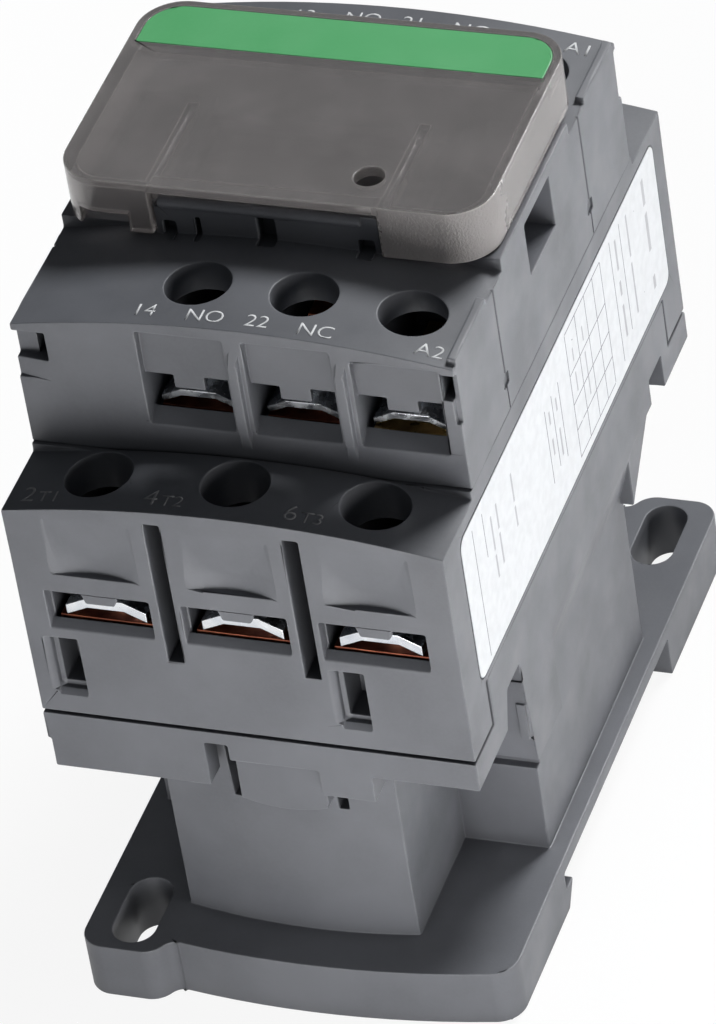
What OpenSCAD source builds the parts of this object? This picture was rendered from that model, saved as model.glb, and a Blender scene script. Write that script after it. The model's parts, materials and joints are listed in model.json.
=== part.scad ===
// Three-pole industrial contactor with one NO and one NC auxiliary contact and an AC coil.
// X runs across the poles. Y runs from the load terminals (-Y) to the line terminals (+Y).
// Z runs out from the mounting plate. The origin is the centre of the plate's back face.

/* [Overall] */
// Width across the poles
body_w = 45; // [44.8:0.1:45.2]
// Length of the power block from load face to line face
block_l = 70.8; // [70.6:0.1:71]
// Length over the two mounting ears
ear_span = 77; // [76.8:0.1:77.4]
// Height of the front cover above the mounting face
cover_top = 84; // [83.8:0.1:84.4]
// Rise of the terminal tiers' crowned tops at mid width
crown_h = 2; // [1.8:0.1:2.1]

/* [Mounting plate] */
// Thickness of the mounting plate
plate_t = 6.6; // [6.4:0.1:6.8]
// Distance between the mounting slots, across the body
slot_dx = 35; // [34.6:0.1:35.2]
// Distance between the mounting slots' centres, along the body
slot_dy = 65; // [64.6:0.1:65.2]
// Width of a mounting slot
slot_w = 4.5; // [4.2:0.1:4.8]
// Length of a mounting slot, end to end
slot_l = 9.5; // [9:0.1:9.8]
// Width of the rail that the groove takes
rail_w = 35; // [34.8:0.1:35.2]
// Depth of the rail groove in the plate
groove_d = 4.8; // [4.6:0.1:4.9]

/* [Power poles] */
// Distance between neighbouring power poles
pole_pitch = 14.13; // [14:0.01:14.2]
// Radius of a power terminal's driver hole
driver_r = 3.4; // [3.2:0.1:3.5]
// Width of a power terminal's wire entry
entry_w = 9.8; // [9.4:0.1:10]
// Height of a power terminal's wire entry
entry_h = 3.7; // [3.6:0.1:3.9]

/* [Control poles] */
// Distance between neighbouring control terminals
ctl_pitch = 10.8; // [10.7:0.1:10.9]
// Place of the middle control terminal across the body
ctl_mid = 5.6; // [5.5:0.1:5.7]
// Radius of a control terminal's driver hole
ctl_driver_r = 3.3; // [3.1:0.1:3.3]

/* [Magnet and travel] */
// Travel of the contact carrier
travel = 4.8; // [4.6:0.1:4.8]
// Open gap between fixed and moving contact tips
tip_gap = 3.8; // [3.6:0.1:3.8]
// Thickness of the magnet's lamination stack
core_w = 12; // [11.6:0.1:12.2]
// Length of the magnet core
core_l = 34; // [33.6:0.1:34]

/* [Hidden] */
$fn = 48;

eps = 0.01;
half_w = body_w / 2;
half_l = block_l / 2;
slab = 200;

// heights of the three housings, from the mounting face out
base_top = 41;
rim_top = 35;
rim_low = 31.6;
seam = 0.4;
main_low = rim_top + seam;
step_y = 29.4;
main_top = 61.9;
main_edge = 60.9;
upper_edge = 76.4;
platform = 77.9;
aux_half = 26;

// plan of the mounting plate
plate_side_y = 34.6;
plate_bow = 2.6;
plate_bow_r = (pow(half_w, 2) + pow(plate_bow, 2)) / (2 * plate_bow);
ear_x0 = 13.3;
ear_r = 2.6;
ear_fillet_r = 1.5;

// crown of the terminal tiers: a cylinder along Y
crown_r = (pow(half_w, 2) + pow(crown_h, 2)) / (2 * crown_h);

// magnet box of the base, wide in the middle and narrow towards the ends
box_x = [-13, 11.6];
box_half_y = 31.9;
box_bow = 1.3;
box_bow_r = (pow(13, 2) + pow(box_bow, 2)) / (2 * box_bow);
wide_x = 20.6;
wide_y = 16.3;
flare_z0 = 26.5;
flare_z1 = 32.7;
shelf_y0 = -20.5;
shelf_y1 = 23;
notch_top = 35.7;

// rail groove and clip
groove_y0 = -rail_w / 2 - 0.4;
groove_y1 = rail_w / 2 + 0.9;
hook_y = groove_y0 + 2;
hook_z = 2.7;
clip_z0 = 0.8;
clip_z1 = 3.9;
clip_tip = rail_w / 2 - 1.3;
clip_back = groove_y1 + 5;

// magnet: the E-cores' legs and yokes
pad_t = 0.8;
core_z0 = 8.2;
yoke_t = 5.5;
fixed_top = 21.2;
arm_low = fixed_top + travel;
arm_yoke = 35;
arm_top = arm_yoke + yoke_t;
mid_leg = 5;
side_leg = 11.5;

// coil
bobbin_z0 = core_z0 + yoke_t;
bobbin_z1 = 26.6;
coil_x = 14.2;
coil_y = 11.1;

// power wire entries
entry_top = 51.1;
entry_shift = 0.35;

// power contacts
bar_z0 = 46.8;
bar_z1 = 48;
// the terminal plate lies lower than the bar and joins it by a step
bar_step = 0.7;
plate_z0 = bar_z0 - bar_step;
plate_z1 = bar_z1 - bar_step;
riser_y0 = -25.7;
riser_y1 = -24.6;
tip_t = 0.8;
tip_y0 = 7;
tip_y1 = 10.8;
bridge_t = 1.2;
bridge_w = 6.4;
bridge_z0 = bar_z1 + 2 * tip_t + tip_gap;
window_top = 60;
screw_y = 30;
clamp_t = 1.2;
clamp_rise = 1.1;

// chambers of the power poles
chamber_x = 5.4;
chamber_y = 34.4;
chamber_top = 57.6;
arc_y = 23.4;
well_z0 = 42.6;
shaft_y = 4.8;
shaft_z0 = 45.4;

// contact carrier
carrier_x = 19.2;
carrier_y = 4;
carrier_z0 = 50.6;
carrier_z1 = 61;
stem_x = 11.2;
stem_top = 77.5;
foot_z0 = arm_top + 0.1;
foot_z1 = 43.4;

// control terminals
ctl_bar_z0 = 67;
ctl_bar_z1 = 67.8;
ctl_step = 1.1;
ctl_plate_z0 = ctl_bar_z0 - ctl_step;
ctl_plate_z1 = ctl_bar_z1 - ctl_step;
ctl_sill = 67;
ctl_entry_top = 71.4;
ctl_tip_t = 0.7;
ctl_screw_y = 19.3;
ctl_clamp_t = 0.8;
ctl_clamp_rise = 1;
ctl_chamber_x = 4.4;
ctl_chamber_top = 74.8;
ctl_well_z0 = 63.2;
panel_deep = 0.9;
seam_deep = 0.3;
no_x = ctl_mid - ctl_pitch;
nc_x = ctl_mid;
coil_term_x = ctl_mid + ctl_pitch;
no_bridge_z0 = ctl_bar_z1 + 2 * ctl_tip_t + tip_gap;
nc_bar_z0 = 71;
nc_bridge_z1 = nc_bar_z0 - 2 * ctl_tip_t;
nc_floor = 65.2;
no_window_top = 76.6;
over_travel = travel - tip_gap;
strip_x = 20.4;
ctl_bridge_t = 0.9;
ctl_bridge_w = 4.6;

// label on the right side
label_t = 0.15;

// cover
cover_x = 22;
cover_y0 = -12.5;
cover_y1 = 16.8;
cover_low = 78.05;
cover_t = 1.2;
strip_y = 9.6;
hinge_y = 18.2;
hinge_z = 79.6;
hinge_r = 0.8;
arm_x = [9.3, 10.8];
post_x = [10.9, 12.6];

function pole_x(i) = (i - 2) * pole_pitch;
function ctl_x(i) = ctl_mid + (i - 2) * ctl_pitch;
// height of a crowned top at x, where its edge height is z_edge
function crown_z(x, z_edge) = z_edge + crown_h - crown_r + sqrt(pow(crown_r, 2) - pow(x, 2));

// a box between two corners, given axis by axis
module span(x, y, z) {
    translate([x[0], y[0], z[0]])
        cube([x[1] - x[0], y[1] - y[0], z[1] - z[0]]);
}

// a box centred across X
module span_x(half, y, z) {
    span([-half, half], y, z);
}

// the children and their mirror image on the other terminal side
module both_sides() {
    children();
    mirror([0, 1, 0]) children();
}

// the children and their half-turn about Z
module half_turn() {
    children();
    rotate([0, 0, 180]) children();
}

// on the line side the load side's shape is mirrored
module on_side(side) {
    if (side == "line")
        mirror([0, 1, 0]) children();
    else
        children();
}

// one terminal tier on the load side with its crowned top
module crowned_tier(y_face, y_back, z_low, z_edge) {
    intersection() {
        span_x(half_w, [-y_face, -y_back], [z_low, z_edge + crown_h + 1]);
        translate([0, 0, z_edge + crown_h - crown_r])
            rotate([90, 0, 0])
                cylinder(r = crown_r, h = slab, center = true, $fn = 180);
    }
}

// ---------- base housing ----------

module plate_plan() {
    intersection() {
        square([body_w, slab], center = true);
        translate([0, plate_bow_r - plate_side_y - plate_bow])
            circle(r = plate_bow_r, $fn = 120);
        translate([0, plate_side_y + plate_bow - plate_bow_r])
            circle(r = plate_bow_r, $fn = 120);
    }
}

// fills the inner corner between an ear and the bowed edge
module ear_fillet_plan() {
    ear_corner = [-ear_x0 - ear_r, -ear_span / 2 + ear_r];
    edge_y = plate_bow_r - plate_side_y - plate_bow - sqrt(pow(plate_bow_r, 2) - pow(ear_x0 - 1, 2));
    fillet_y = edge_y - ear_fillet_r;
    fillet_x = ear_corner.x + sqrt(pow(ear_r + ear_fillet_r, 2) - pow(ear_corner.y - fillet_y, 2));
    difference() {
        polygon([ear_corner, [fillet_x, fillet_y], [fillet_x, edge_y + 1], [ear_corner.x, edge_y + 1]]);
        translate([fillet_x, fillet_y]) circle(r = ear_fillet_r);
    }
}

module ear_plan() {
    x_mid = (ear_x0 + half_w) / 2;
    translate([-half_w, -ear_span / 2 + ear_r])
        square([half_w - ear_x0, ear_r + 6]);
    translate([-half_w + ear_r, -ear_span / 2])
        square([half_w - ear_x0 - 2 * ear_r, ear_r]);
    for (x = [-half_w + ear_r, -ear_x0 - ear_r])
        translate([x, -ear_span / 2 + ear_r])
            circle(r = ear_r);
}

// what is cut off to round the plate's two corners that have no ear
module plate_corner_cut() {
    r = 3;
    y = plate_bow_r - plate_side_y - plate_bow - sqrt(pow(plate_bow_r - r, 2) - pow(half_w - r, 2));
    x = (half_w - r) * plate_bow_r / (plate_bow_r - r);
    difference() {
        translate([x, y - 2 * r]) square([2 * r, 2 * r]);
        translate([half_w - r, y]) circle(r = r);
    }
}

module slot_cut() {
    reach = (slot_l - slot_w) / 2;
    translate([-slot_dx / 2, -slot_dy / 2, -1]) {
        for (dy = [-reach, reach])
            translate([0, dy, 0])
                cylinder(d = slot_w, h = plate_t + 2);
        translate([-slot_w / 2, -reach, 0])
            cube([slot_w, 2 * reach, plate_t + 2]);
    }
}

module mounting_plate() {
    difference() {
        union() {
            linear_extrude(plate_t) plate_plan();
            half_turn()
                linear_extrude(plate_t) {
                    ear_plan();
                    ear_fillet_plan();
                }
        }
        half_turn() {
            slot_cut();
            translate([0, 0, -1]) linear_extrude(plate_t + 2) plate_corner_cut();
        }
    }
}

module rail_groove() {
    rotate([90, 0, 90])
        linear_extrude(slab, center = true)
            polygon([
                [groove_y0, -1], [groove_y0, 0], [hook_y, hook_z], [groove_y0, hook_z],
                [groove_y0, groove_d], [groove_y1, groove_d], [groove_y1, -1]
            ]);
}

// leaning block under the shelf's short end, with a raised pad on its face
module corner_block() {
    rotate([90, 0, 90])
        translate([0, 0, 16])
            linear_extrude(half_w - 16)
                polygon([[-12, 22], [-20, 22], [-21.2, notch_top + eps], [-12, notch_top + eps]]);
    span([21.3, 22.3], [-21, -19.9], [25.5, 30.1]);
}

// plan of the narrow ends of the magnet box, with bowed end faces
module magnet_box_plan() {
    intersection() {
        translate([box_x[0], -box_half_y]) square([box_x[1] - box_x[0], 2 * box_half_y]);
        translate([0, box_bow_r - box_half_y]) circle(r = box_bow_r, $fn = 120);
        translate([0, box_half_y - box_bow_r]) circle(r = box_bow_r, $fn = 120);
    }
}

module magnet_box() {
    translate([0, 0, plate_t - 1])
        linear_extrude(rim_top - plate_t + 1) magnet_box_plan();
    rotate([90, 0, 0])
        linear_extrude(2 * wide_y, center = true)
            polygon([
                [-wide_x, plate_t - 1], [wide_x, plate_t - 1], [wide_x, flare_z0],
                [half_w, flare_z1], [half_w, base_top], [-half_w, base_top],
                [-half_w, flare_z1], [-wide_x, flare_z0]
            ]);
    half_turn() {
        span([0, half_w], [shelf_y0, shelf_y1], [flare_z1, base_top]);
        span([16, half_w], [-step_y, shelf_y1], [notch_top, base_top]);
        // gusset under the shelf's long end
        rotate([90, 0, 90])
            linear_extrude(half_w - 0.4)
                polygon([[wide_y - 1, flare_z0 - 1], [shelf_y1, flare_z1], [wide_y - 1, flare_z1]]);
        corner_block();
    }
}

// flange under the power terminals: a shelf with a rim, and a deeper skirt at one end of each face
module flange() {
    rim = 2;
    span_x(half_w, [-half_l, half_l], [rim_top - 1.8, rim_top]);
    span_x(half_w, [-step_y, step_y], [rim_top - eps, base_top]);
    for (y = [-half_l, half_l - rim])
        span_x(half_w, [y, y + rim], [rim_low, rim_top]);
    half_turn() {
        span([half_w - rim, half_w], [-half_l, -24], [rim_low, rim_top]);
        span([half_w - rim, half_w], [27.2, half_l], [rim_low, rim_top]);
    }
    both_sides() {
        span([-half_w + 0.3, -5.8], [-half_l, -half_l + 2.6], [28, rim_low + eps]);
        span([-13, -10.8], [-half_l + 2, -30], [28, rim_low + eps]);
        span([5.8, 11.4], [-half_l, -30], [28.4, rim_low + eps]);
        tongue();
    }
}

// tab with a curved lower edge between the two skirts
module tongue() {
    half = 4.6;
    sag = 0.8;
    tab_r = (pow(half, 2) + pow(sag, 2)) / (2 * sag);
    intersection() {
        span([-3.4, 5.8], [-half_l + 1.2, -30], [24.8, rim_low + eps]);
        translate([1.2, 0, 24.8 + tab_r])
            rotate([90, 0, 0]) cylinder(r = tab_r, h = slab, center = true, $fn = 120);
    }
}

// open notches in the side rims, beside the shelf
module rim_notches() {
    half_turn() {
        translate([half_w - 2.4, 0, 0])
            rotate([90, 0, 90])
                linear_extrude(4)
                    polygon([
                        [-25, notch_top], [-26.8, rim_low - 1],
                        [-20.76, rim_low - 1], [-21.2, notch_top]
                    ]);
        span([half_w - 2.4, half_w + 1], [shelf_y1, 27.2], [rim_low - 1, notch_top]);
    }
}

module magnet_cavity() {
    span_x(17, [-14.6, 14.6], [core_z0 - pad_t, base_top + 1]);
    span_x(8.4, [-19.4, 19.4], [core_z0 - pad_t, base_top + 1]);
    both_sides() span([14.4, 21.6], [-12.6, -8.4], [34, base_top + 1]);
}

// shadow groove in the side wall, below the corner block
module under_block_grooves() {
    half_turn() span([box_x[1], wide_x + eps], [-wide_y - eps, -wide_y + 0.9], [17.3, 22]);
}

module clip_pocket() {
    span_x(8.4, [groove_y1 - eps, groove_y1 + 8.2], [-1, groove_d - 0.4]);
    span_x(9.7, [groove_y1 - eps, groove_y1 + 8.2], [2, 3.6]);
}

module base_housing() {
    color("dimgray")
        difference() {
            union() {
                mounting_plate();
                magnet_box();
                flange();
            }
            rail_groove();
            clip_pocket();
            magnet_cavity();
            rim_notches();
            under_block_grooves();
            both_sides() {
                // screwdriver notch between the skirt and the tongue
                span([-5.8, -3.4], [-half_l - 1, -box_half_y - 0.8], [28, 33.5]);
                // narrow slots beside the tongue
                translate([0, -29.6, 0])
                    rotate([90, 0, 0])
                        linear_extrude(slab)
                            polygon([[-5.5, 30], [-5.3, 23.5], [-4.3, 23.5], [-3.4, 30]]);
                span([5.6, 6.6], [-slab, -29.6], [23.3, 26]);
            }
        }
}

// spring-steel clip that holds the rail against the hook
module rail_clip() {
    color("silver") {
        rotate([90, 0, 90])
            linear_extrude(16, center = true)
                polygon([
                    [clip_back, clip_z0], [groove_y1 + 0.4, clip_z0], [clip_tip, 2.2],
                    [clip_tip, 2.9], [groove_y1 + 0.4, clip_z1], [clip_back, clip_z1]
                ]);
        span_x(9.4, [groove_y1 + 0.4, clip_back], [2.2, 3.4]);
    }
}

// ---------- power block ----------

module pole_chamber(i) {
    x = pole_x(i);
    across = [x - chamber_x, x + chamber_x];
    span(across, [-arc_y, arc_y], [bar_z0, main_top + 1]);
    both_sides() {
        span(across, [-chamber_y, riser_y1 + 0.1], [plate_z0, 53.8]);
        span(across, [-chamber_y, -arc_y + eps], [bar_z0, 53.8]);
        span(across, [-chamber_y + 1.2, -arc_y + eps], [bar_z0, chamber_top]);
        // well for the screw's end
        translate([x, -screw_y, well_z0]) cylinder(r = 2.6, h = plate_z0 - well_z0 + eps);
        translate([x, -screw_y, chamber_top - eps]) cylinder(r = driver_r, h = 8);
        wire_entry(x);
    }
}

// wire entry with a funnel below and to its left
module wire_entry(x) {
    x0 = x + entry_shift - entry_w / 2;
    sill = entry_top - entry_h;
    mouth = -half_l - 1;
    throat = -half_l + 1.3;
    span([x0, x0 + entry_w], [mouth, -33], [sill, entry_top]);
    translate([x0 - 1, 0, 0])
        rotate([90, 0, 90])
            linear_extrude(entry_w + 1)
                polygon([[mouth, 45.6], [throat, sill], [throat, entry_top], [mouth, entry_top]]);
}

// tab that hangs into a power wire entry and keeps the clamp from view
module entry_tab(x) {
    translate([x, -chamber_y, 0])
        rotate([90, 0, 0])
            linear_extrude(half_l - chamber_y - 0.2)
                polygon([[-2.1, entry_top + 0.5], [-1.5, 49.8], [1.5, 49.8], [2.1, entry_top + 0.5]]);
}

// shallow scoop above a wire entry, ending below in a crescent ledge
module finger_scoop(x) {
    half = 4.7;
    deep = 0.8;
    scoop_r = (pow(half, 2) + pow(deep, 2)) / (2 * deep);
    intersection() {
        translate([x + 0.1, -half_l - scoop_r + deep, 53.4]) cylinder(r = scoop_r, h = 8, $fn = 120);
        rotate([90, 0, 90])
            linear_extrude(slab, center = true)
                polygon([
                    [-half_l - 1, 52], [-half_l + 1, 52], [-half_l + 1, 54.2],
                    [-half_l, 61.2], [-half_l - 1, 62]
                ]);
    }
}

// passages for the coil's terminal strips
module coil_passages(z0, z1) {
    both_sides() span([strip_x - 0.3, strip_x + 1.1], [-12.4, -8.6], [z0, z1]);
}

module divider_slots() {
    for (s = [-1, 1])
        both_sides()
            span(
                [s * pole_pitch / 2 - 0.8, s * pole_pitch / 2 + 0.8],
                [-half_l - 1, -half_l + 8], [43.8, 61.1]
            );
}

// blind pockets for a finger guard, below the wire entries
module guard_pockets() {
    both_sides()
        for (x = [-20.8, 8.7]) guard_pocket(x, 37.7);
}

// a pocket whose left and lower rims are bevelled
module guard_pocket(x, z) {
    w = 3.6;
    h = 7.4;
    bevel = 1.1;
    face = -half_l;
    span([x + bevel, x + w], [face - 1, face + 4.6], [z + bevel, z + h]);
    translate([0, 0, z + bevel / 2])
        linear_extrude(h - bevel / 2)
            polygon([
                [x, face], [x + bevel, face + bevel],
                [x + w, face + bevel], [x + w, face - 1], [x, face - 1]
            ]);
    translate([x + bevel / 2, 0, 0])
        rotate([90, 0, 90])
            linear_extrude(w - bevel / 2)
                polygon([
                    [face, z], [face + bevel, z + bevel],
                    [face + bevel, z + h], [face - 1, z + h], [face - 1, z]
                ]);
}

module main_housing() {
    color("dimgray")
        difference() {
            union() {
                both_sides() crowned_tier(half_l, aux_half + 0.2, main_low, main_edge);
                span_x(half_w, [-aux_half - 0.4, aux_half + 0.4], [base_top, main_top]);
                both_sides() span_x(half_w, [-half_l, -step_y - seam], [main_low, base_top + 1]);
            }
            // room over the base's step
            span_x(half_w + 1, [-step_y - seam, step_y + seam], [0, base_top]);
            // space over the armature, and the way through the floor
            span_x(12.4, [-17.6, 17.6], [base_top - 1, foot_z1 + 0.4]);
            span_x(10.4, [-shaft_y, shaft_y], [foot_z1, shaft_z0 + eps]);
            span_x(carrier_x + 0.33, [-shaft_y, shaft_y], [shaft_z0, main_top + 1]);
            for (i = [1:3]) pole_chamber(i);
            coil_passages(base_top - 1, main_top + 1);
            divider_slots();
            guard_pockets();
            both_sides()
                for (i = [1:3]) finger_scoop(pole_x(i));
            label_recess();
        }
    color("dimgray")
        both_sides()
            for (i = [1:3]) entry_tab(pole_x(i));
}

module label_plan(edge) {
    r = 1.2 + edge;
    for (y = [-30.85 - edge + r, 32.35 + edge - r])
        for (z = [41.7 - edge + r, 59.2 + edge - r])
            translate([y, z]) circle(r = r);
    translate([-30.85 - edge, 41.7 - edge + r]) square([63.2 + 2 * edge, 17.5 + 2 * edge - 2 * r]);
    translate([-30.85 - edge + r, 41.7 - edge]) square([63.2 + 2 * edge - 2 * r, 17.5 + 2 * edge]);
}

module label_recess() {
    rotate([90, 0, 90])
        translate([0, 0, half_w - label_t])
            linear_extrude(1) label_plan(0.15);
}

module side_label() {
    color("whitesmoke")
        rotate([90, 0, 90])
            translate([0, 0, half_w - label_t])
                linear_extrude(label_t) label_plan(0);
}

// ---------- upper block ----------

module ctl_chamber(i) {
    x = ctl_x(i);
    across = [x - ctl_chamber_x, x + ctl_chamber_x];
    both_sides() {
        span(across, [-24.4, -13.6], [ctl_plate_z0, ctl_chamber_top]);
        span(across, [-24.4, -11.6], [ctl_bar_z0, ctl_chamber_top]);
        // well for the screw's end
        translate([x, -ctl_screw_y, ctl_well_z0]) cylinder(r = 2.2, h = ctl_plate_z0 - ctl_well_z0 + eps);
        translate([x, -ctl_screw_y, ctl_chamber_top - eps]) cylinder(r = ctl_driver_r, h = 8);
        // recessed panel, and the wire entry with its sloping sill below it
        span(
            across, [-aux_half - 1, -aux_half + panel_deep],
            [ctl_entry_top - eps, crown_z(x, upper_edge) - 1.3]
        );
        translate([across[0], 0, 0])
            rotate([90, 0, 90])
                linear_extrude(2 * ctl_chamber_x)
                    polygon([
                        [-aux_half - 1, 65.4], [-aux_half, 65.8], [-24.4, ctl_sill], [-24, ctl_sill],
                        [-24, ctl_entry_top], [-aux_half - 1, ctl_entry_top]
                    ]);
    }
}

// tab that hangs into a control wire entry
module ctl_entry_tab(x) {
    span([x - 1.6, x + 1.6], [-aux_half + panel_deep, -24.4], [69.9, ctl_entry_top + eps]);
}

// tapered guard rib on the web between two control terminals
module web_rib(x) {
    translate([x - 0.5, 0, 0])
        rotate([90, 0, 90])
            linear_extrude(1)
                polygon([
                    [-aux_half, 63.8], [-aux_half - 0.7, 66.2], [-aux_half - 0.7, 74.6],
                    [-aux_half, 75.8], [-24.4, 75.8], [-24.4, 63.8]
                ]);
}

module side_pocket() {
    for (x = [-half_w - 1, half_w - 4.2])
        span([x, x + 5.2], [-3.7, 4.2], [70.4, 76.4]);
}

module corner_notches() {
    both_sides() {
        span([-half_w - 1, -19.1], [-aux_half - 1, -aux_half + 1.2], [72.2, 75.6]);
        span([-20.4, -19.1], [-aux_half - 1, -aux_half + 3.4], [72.2, 75.6]);
        translate([0, 0, 70])
            linear_extrude(2.3)
                polygon([
                    [-half_w - 1, -aux_half + 0.5], [-19.1, -aux_half],
                    [-19.1, -aux_half - 1], [-half_w - 1, -aux_half - 1]
                ]);
        span([21, 22], [-aux_half - 1, -aux_half + 3], [72.6, 75.6]);
        span([22 - eps, half_w + 1], [-aux_half - 1, -aux_half + 0.6], [69.8, 75.6]);
    }
}

// seams of the side walls, with their catches
module side_seams() {
    for (x = [-half_w - 1, half_w - seam_deep])
        both_sides() {
            span([x, x + 1 + seam_deep], [13.6, 13.85], [main_top - 1, platform + 1]);
            span([x, x + 1 + seam_deep], [12.9, 14.5], [64.7, 66.1]);
        }
}

// bar under the cover's front edge, where an add-on block hooks in
module front_bar() {
    span([-12, 10.9], [-11.9, -9.4], [platform - 2, 81.2]);
    span([-11.4, 10.9], [-11.9, -9.4], [81, 82.2]);
    // rounded lip along its top
    translate([-11.4, -11.8, 81.7])
        rotate([0, 90, 0]) cylinder(r = 0.6, h = 20.7);
}

// a round boss along X on the cover's hinge axis
module hinge_boss(x, r) {
    translate([x[0], hinge_y, hinge_z])
        rotate([0, 90, 0]) cylinder(r = r, h = x[1] - x[0]);
}

// posts behind the cover that hold its hinge pins
module hinge_posts() {
    for (s = [0, 1])
        mirror([s, 0, 0])
            difference() {
                union() {
                    hinge_boss(post_x, 1.25);
                    span(post_x, [hinge_y - 1.1, hinge_y + 1.25], [platform - 1.4, hinge_z]);
                }
                hinge_boss([post_x[0] - 1, post_x[1] + 1], hinge_r + 0.1);
            }
}

module upper_housing() {
    color("dimgray") hinge_posts();
    color("dimgray")
        difference() {
            union() {
                both_sides() crowned_tier(aux_half, 10.7, main_top, upper_edge);
                span_x(half_w, [-10.8, 10.8], [main_top, platform]);
                front_bar();
            }
            // level strip under the cover's rear edge
            span_x(half_w + 1, [10.7, cover_y1 + 0.2], [platform, platform + 4]);
            for (i = [1:3]) ctl_chamber(i);
            aux_chambers();
            coil_chamber();
            span_x(stem_x + 0.5, [-4.5, 4.5], [main_top - 1, platform + 1]);
            side_pocket();
            corner_notches();
            side_seams();
            front_bar_windows();
            window_frame_cuts();
        }
    color("dimgray")
        both_sides() {
            for (i = [1:3]) ctl_entry_tab(ctl_x(i));
            for (i = [1:2]) web_rib((ctl_x(i) + ctl_x(i + 1)) / 2);
        }
    color("dimgray") top_trim();
}

// low frames and ribs under the cover, around the carrier's window
module top_trim() {
    h = 0.9;
    for (x = [-13.6, 12.4])
        span([x, x + 1.2], [-8.6, 8], [platform - eps, platform + h]);
    for (y = [-6.2, 5.2])
        span_x(12.6, [y, y + 1], [platform - eps, platform + h]);
    // raised lip along the right edge of each terminal tier
    both_sides()
        intersection() {
            span([half_w - 0.9, half_w], [-25.2, -15.8], [upper_edge - 1, upper_edge + 1.1]);
            crowned_lip();
        }
}

module crowned_lip() {
    translate([0, 0, upper_edge + crown_h - crown_r + 0.7])
        rotate([90, 0, 0])
            cylinder(r = crown_r, h = slab, center = true, $fn = 180);
}

// shallow trays either side of the carrier's window
module window_frame_cuts() {
    for (x = [[-20.6, -15], [15, 20.6]])
        span(x, [-8, 9], [platform - 0.6, platform + 1]);
}

module aux_chambers() {
    for (x = [no_x, nc_x])
        span([x - ctl_chamber_x, x + ctl_chamber_x], [-12, 12], [64.4, 75.4]);
}

module coil_chamber() {
    both_sides() span([coil_term_x - ctl_chamber_x, strip_x + 1.1], [-12.4, -8.6], [ctl_bar_z0, 71]);
    coil_passages(main_top - 1, ctl_bar_z0 + eps);
}

module front_bar_windows() {
    for (x = [[-11.3, -10], [8.7, 10.3]])
        span(x, [-13, -10.7], [platform, 79.4]);
    span([-7.9, -7.4], [-13, -10.7], [platform, 80.1]);
    span([-1.5, 0.3], [-13, -10.4], [platform, 81]);
}

// ---------- front cover ----------

module cover_plan(inset) {
    r = 4.5 - inset;
    for (x = [-cover_x + inset + r, cover_x - inset - r])
        for (y = [cover_y0 + inset + r, cover_y1 - inset - r])
            translate([x, y]) circle(r = r);
    translate([-cover_x + inset + r, cover_y0 + inset])
        square([2 * (cover_x - inset - r), cover_y1 - cover_y0 - 2 * inset]);
    translate([-cover_x + inset, cover_y0 + inset + r])
        square([2 * (cover_x - inset), cover_y1 - cover_y0 - 2 * inset - 2 * r]);
}

module front_cover() {
    under = cover_top - cover_t;
    color([0.35, 0.33, 0.32, 0.7]) {
        difference() {
            translate([0, 0, cover_low])
                linear_extrude(cover_top - cover_low) cover_plan(0);
            translate([0, 0, cover_low - 1])
                linear_extrude(under - cover_low + 1) cover_plan(cover_t);
            // gap in the front wall for the hook bar
            span([-12.2, 11.2], [cover_y0 - 1, cover_y0 + cover_t + 1], [cover_low - 1, 83]);
            // finger recess at the left of the front wall
            span([-19.8, -14.6], [cover_y0 - 1, cover_y0 + cover_t + 1], [cover_low - 1, 80.1]);
            // sealing hole
            translate([9.1, -7.8, under - 1]) cylinder(r = 1.5, h = cover_t + 2);
            // seat of the marker strip
            translate([0, 0, under - eps])
                linear_extrude(cover_t + 1) strip_plan(0);
        }
        // stiffening ribs below the top
        for (x = [-12.6, 11.2])
            span([x, x + 1], [cover_y0 + cover_t, 1.5], [under - 1.4, under + eps]);
        for (s = [0, 1])
            mirror([s, 0, 0]) {
                hinge_boss(arm_x, 1.2);
                span(arm_x, [cover_y1 - cover_t, hinge_y], [hinge_z - 0.9, hinge_z + 1.2]);
                hinge_boss([arm_x[1] - eps, post_x[1] - 0.2], hinge_r);
            }
        // frame of the strip's seat
        difference() {
            translate([0, 0, under - 1]) linear_extrude(1) strip_plan(-0.6);
            translate([0, 0, under - 2]) linear_extrude(3) strip_plan(0.8);
        }
    }
}

// plan of the marker strip, within the cover's outline
module strip_plan(inset) {
    intersection() {
        cover_plan(0.9 + inset);
        translate([-slab / 2, strip_y + inset]) square([slab, slab]);
    }
}

module marker_strip() {
    color("mediumseagreen")
        translate([0, 0, cover_top - cover_t])
            linear_extrude(cover_t) strip_plan(0);
}

// ---------- magnet and coil ----------

// an E-core: a yoke and three legs that stand from z_yoke towards z_tip
module e_core(yoke_z0, yoke_z1, tip_z) {
    leg_z0 = min(yoke_z0, tip_z);
    leg_z1 = max(yoke_z1, tip_z);
    span_x(core_w / 2, [-core_l / 2, core_l / 2], [yoke_z0, yoke_z1]);
    for (y = [[-core_l / 2, -side_leg], [-mid_leg, mid_leg], [side_leg, core_l / 2]])
        span_x(core_w / 2, y, [leg_z0, leg_z1]);
}

module fixed_core() {
    color("slategray")
        difference() {
            e_core(core_z0, core_z0 + yoke_t, fixed_top);
            both_sides() span_x(core_w, [13.2, 14.2], [fixed_top - 1.2, fixed_top + 1]);
        }
}

module shading_rings() {
    out_y = core_l / 2 + 0.9;
    color("peru")
        both_sides()
            difference() {
                span_x(core_w / 2 + 0.9, [13.25, out_y], [fixed_top - 1.1, fixed_top - 0.2]);
                span_x(core_w / 2 + 0.02, [14.15, core_l / 2 + 0.02], [fixed_top - 2, fixed_top + 1]);
            }
}

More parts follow.
